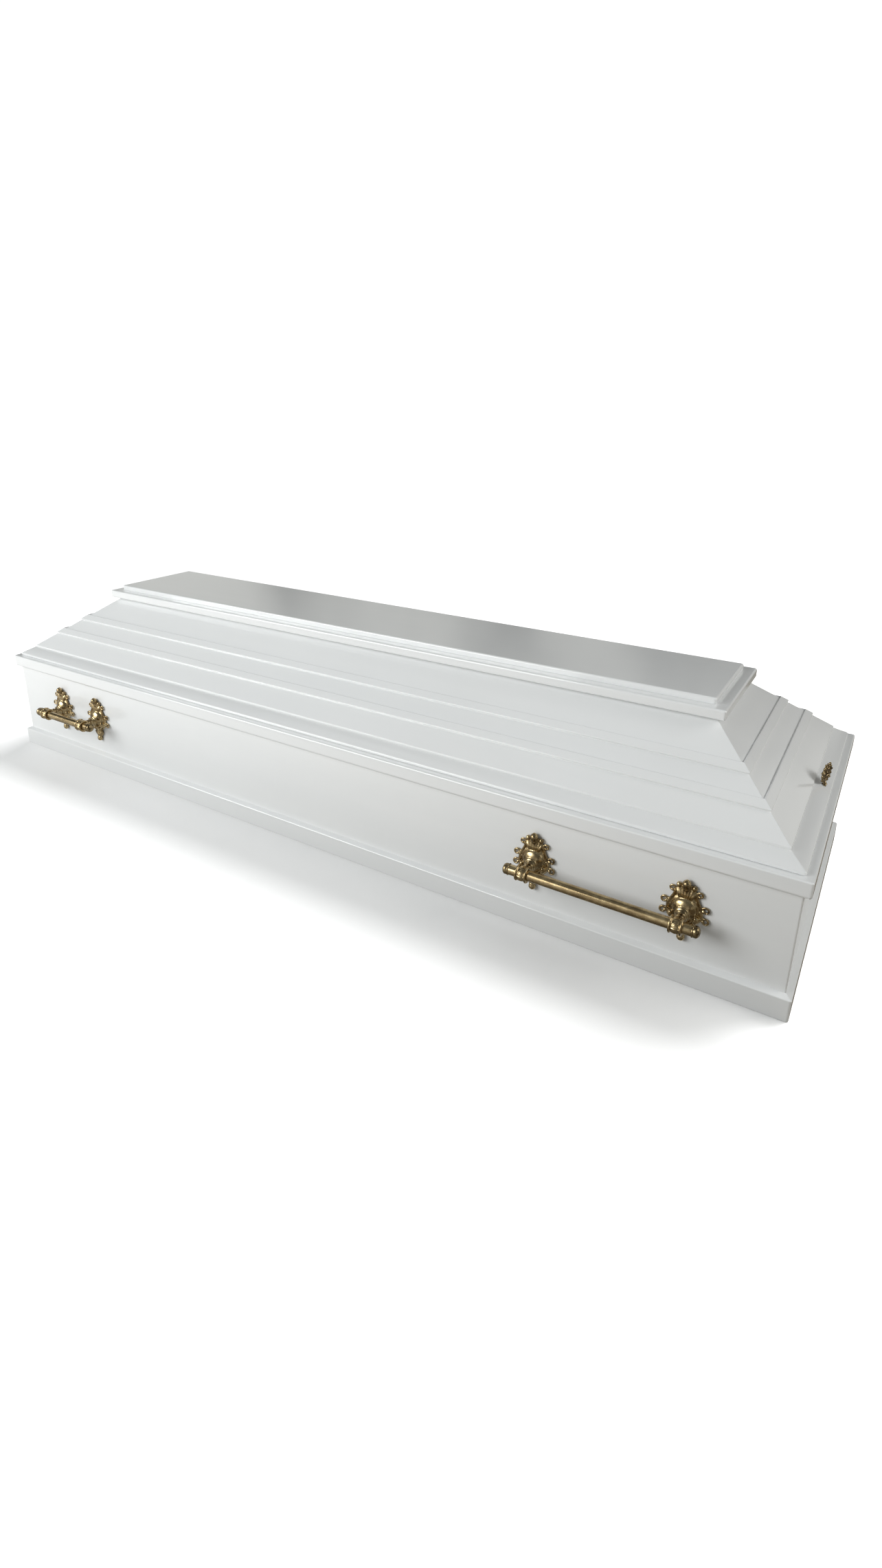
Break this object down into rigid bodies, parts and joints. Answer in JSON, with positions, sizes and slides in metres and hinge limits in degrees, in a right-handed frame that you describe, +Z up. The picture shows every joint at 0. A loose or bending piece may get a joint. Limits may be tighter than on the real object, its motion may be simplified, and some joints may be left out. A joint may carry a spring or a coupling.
{
  "type": "wooden coffin",
  "caption": "Full-size wooden coffin: white gloss box with plinth and rim, hipped lid with raised strips and a flat top board, brass bar handles and openwork lid screws.",
  "frame": {"origin": "on the ground, in the middle of the underside", "axes": "+X along the length towards the head end, +Y from the pictured front side towards the back side, +Z up"},
  "size_m": [2, 0.7598, 0.4365],
  "materials": {
    "lacquer": "white high-gloss lacquer over solid wood",
    "brass": "aged, brushed brass-coloured castings and bars"
  },
  "bodies": {
    "root": {"floor_board": "lacquer", "side_board_front": "lacquer", "side_board_back": "lacquer", "end_board_head": "lacquer", "end_board_foot": "lacquer", "plinth_front": "lacquer", "plinth_back": "lacquer", "plinth_head": "lacquer", "plinth_foot": "lacquer", "rim_front": "lacquer", "rim_back": "lacquer", "rim_head": "lacquer", "rim_foot": "lacquer", "lid_skirt_front": "lacquer", "lid_skirt_back": "lacquer", "lid_skirt_head": "lacquer", "lid_skirt_foot": "lacquer", "lid_panel_front": "lacquer", "lid_panel_back": "lacquer", "lid_panel_head": "lacquer", "lid_panel_foot": "lacquer", "low_strip_front": "lacquer", "low_strip_back": "lacquer", "low_strip_head": "lacquer", "low_strip_foot": "lacquer", "high_strip_front": "lacquer", "high_strip_back": "lacquer", "high_strip_head": "lacquer", "high_strip_foot": "lacquer", "top_frame_front": "lacquer", "top_frame_back": "lacquer", "top_frame_head": "lacquer", "top_frame_foot": "lacquer", "top_board": "lacquer", "long_handle_mount_front_outer": "brass", "long_handle_mount_front_inner": "brass", "long_handle_mount_back_outer": "brass", "long_handle_mount_back_inner": "brass", "short_handle_mount_front_outer": "brass", "short_handle_mount_front_inner": "brass", "short_handle_mount_back_outer": "brass", "short_handle_mount_back_inner": "brass", "long_handle_bar_front": "brass", "long_handle_bar_back": "brass", "short_handle_bar_front": "brass", "short_handle_bar_back": "brass", "long_bar_cap_front_outer": "brass", "long_bar_cap_front_inner": "brass", "long_bar_cap_back_outer": "brass", "long_bar_cap_back_inner": "brass", "short_bar_cap_front_outer": "brass", "short_bar_cap_front_inner": "brass", "short_bar_cap_back_outer": "brass", "short_bar_cap_back_inner": "brass", "lid_screw_head": "brass", "lid_screw_foot": "brass"}
  },
  "joints": []
}
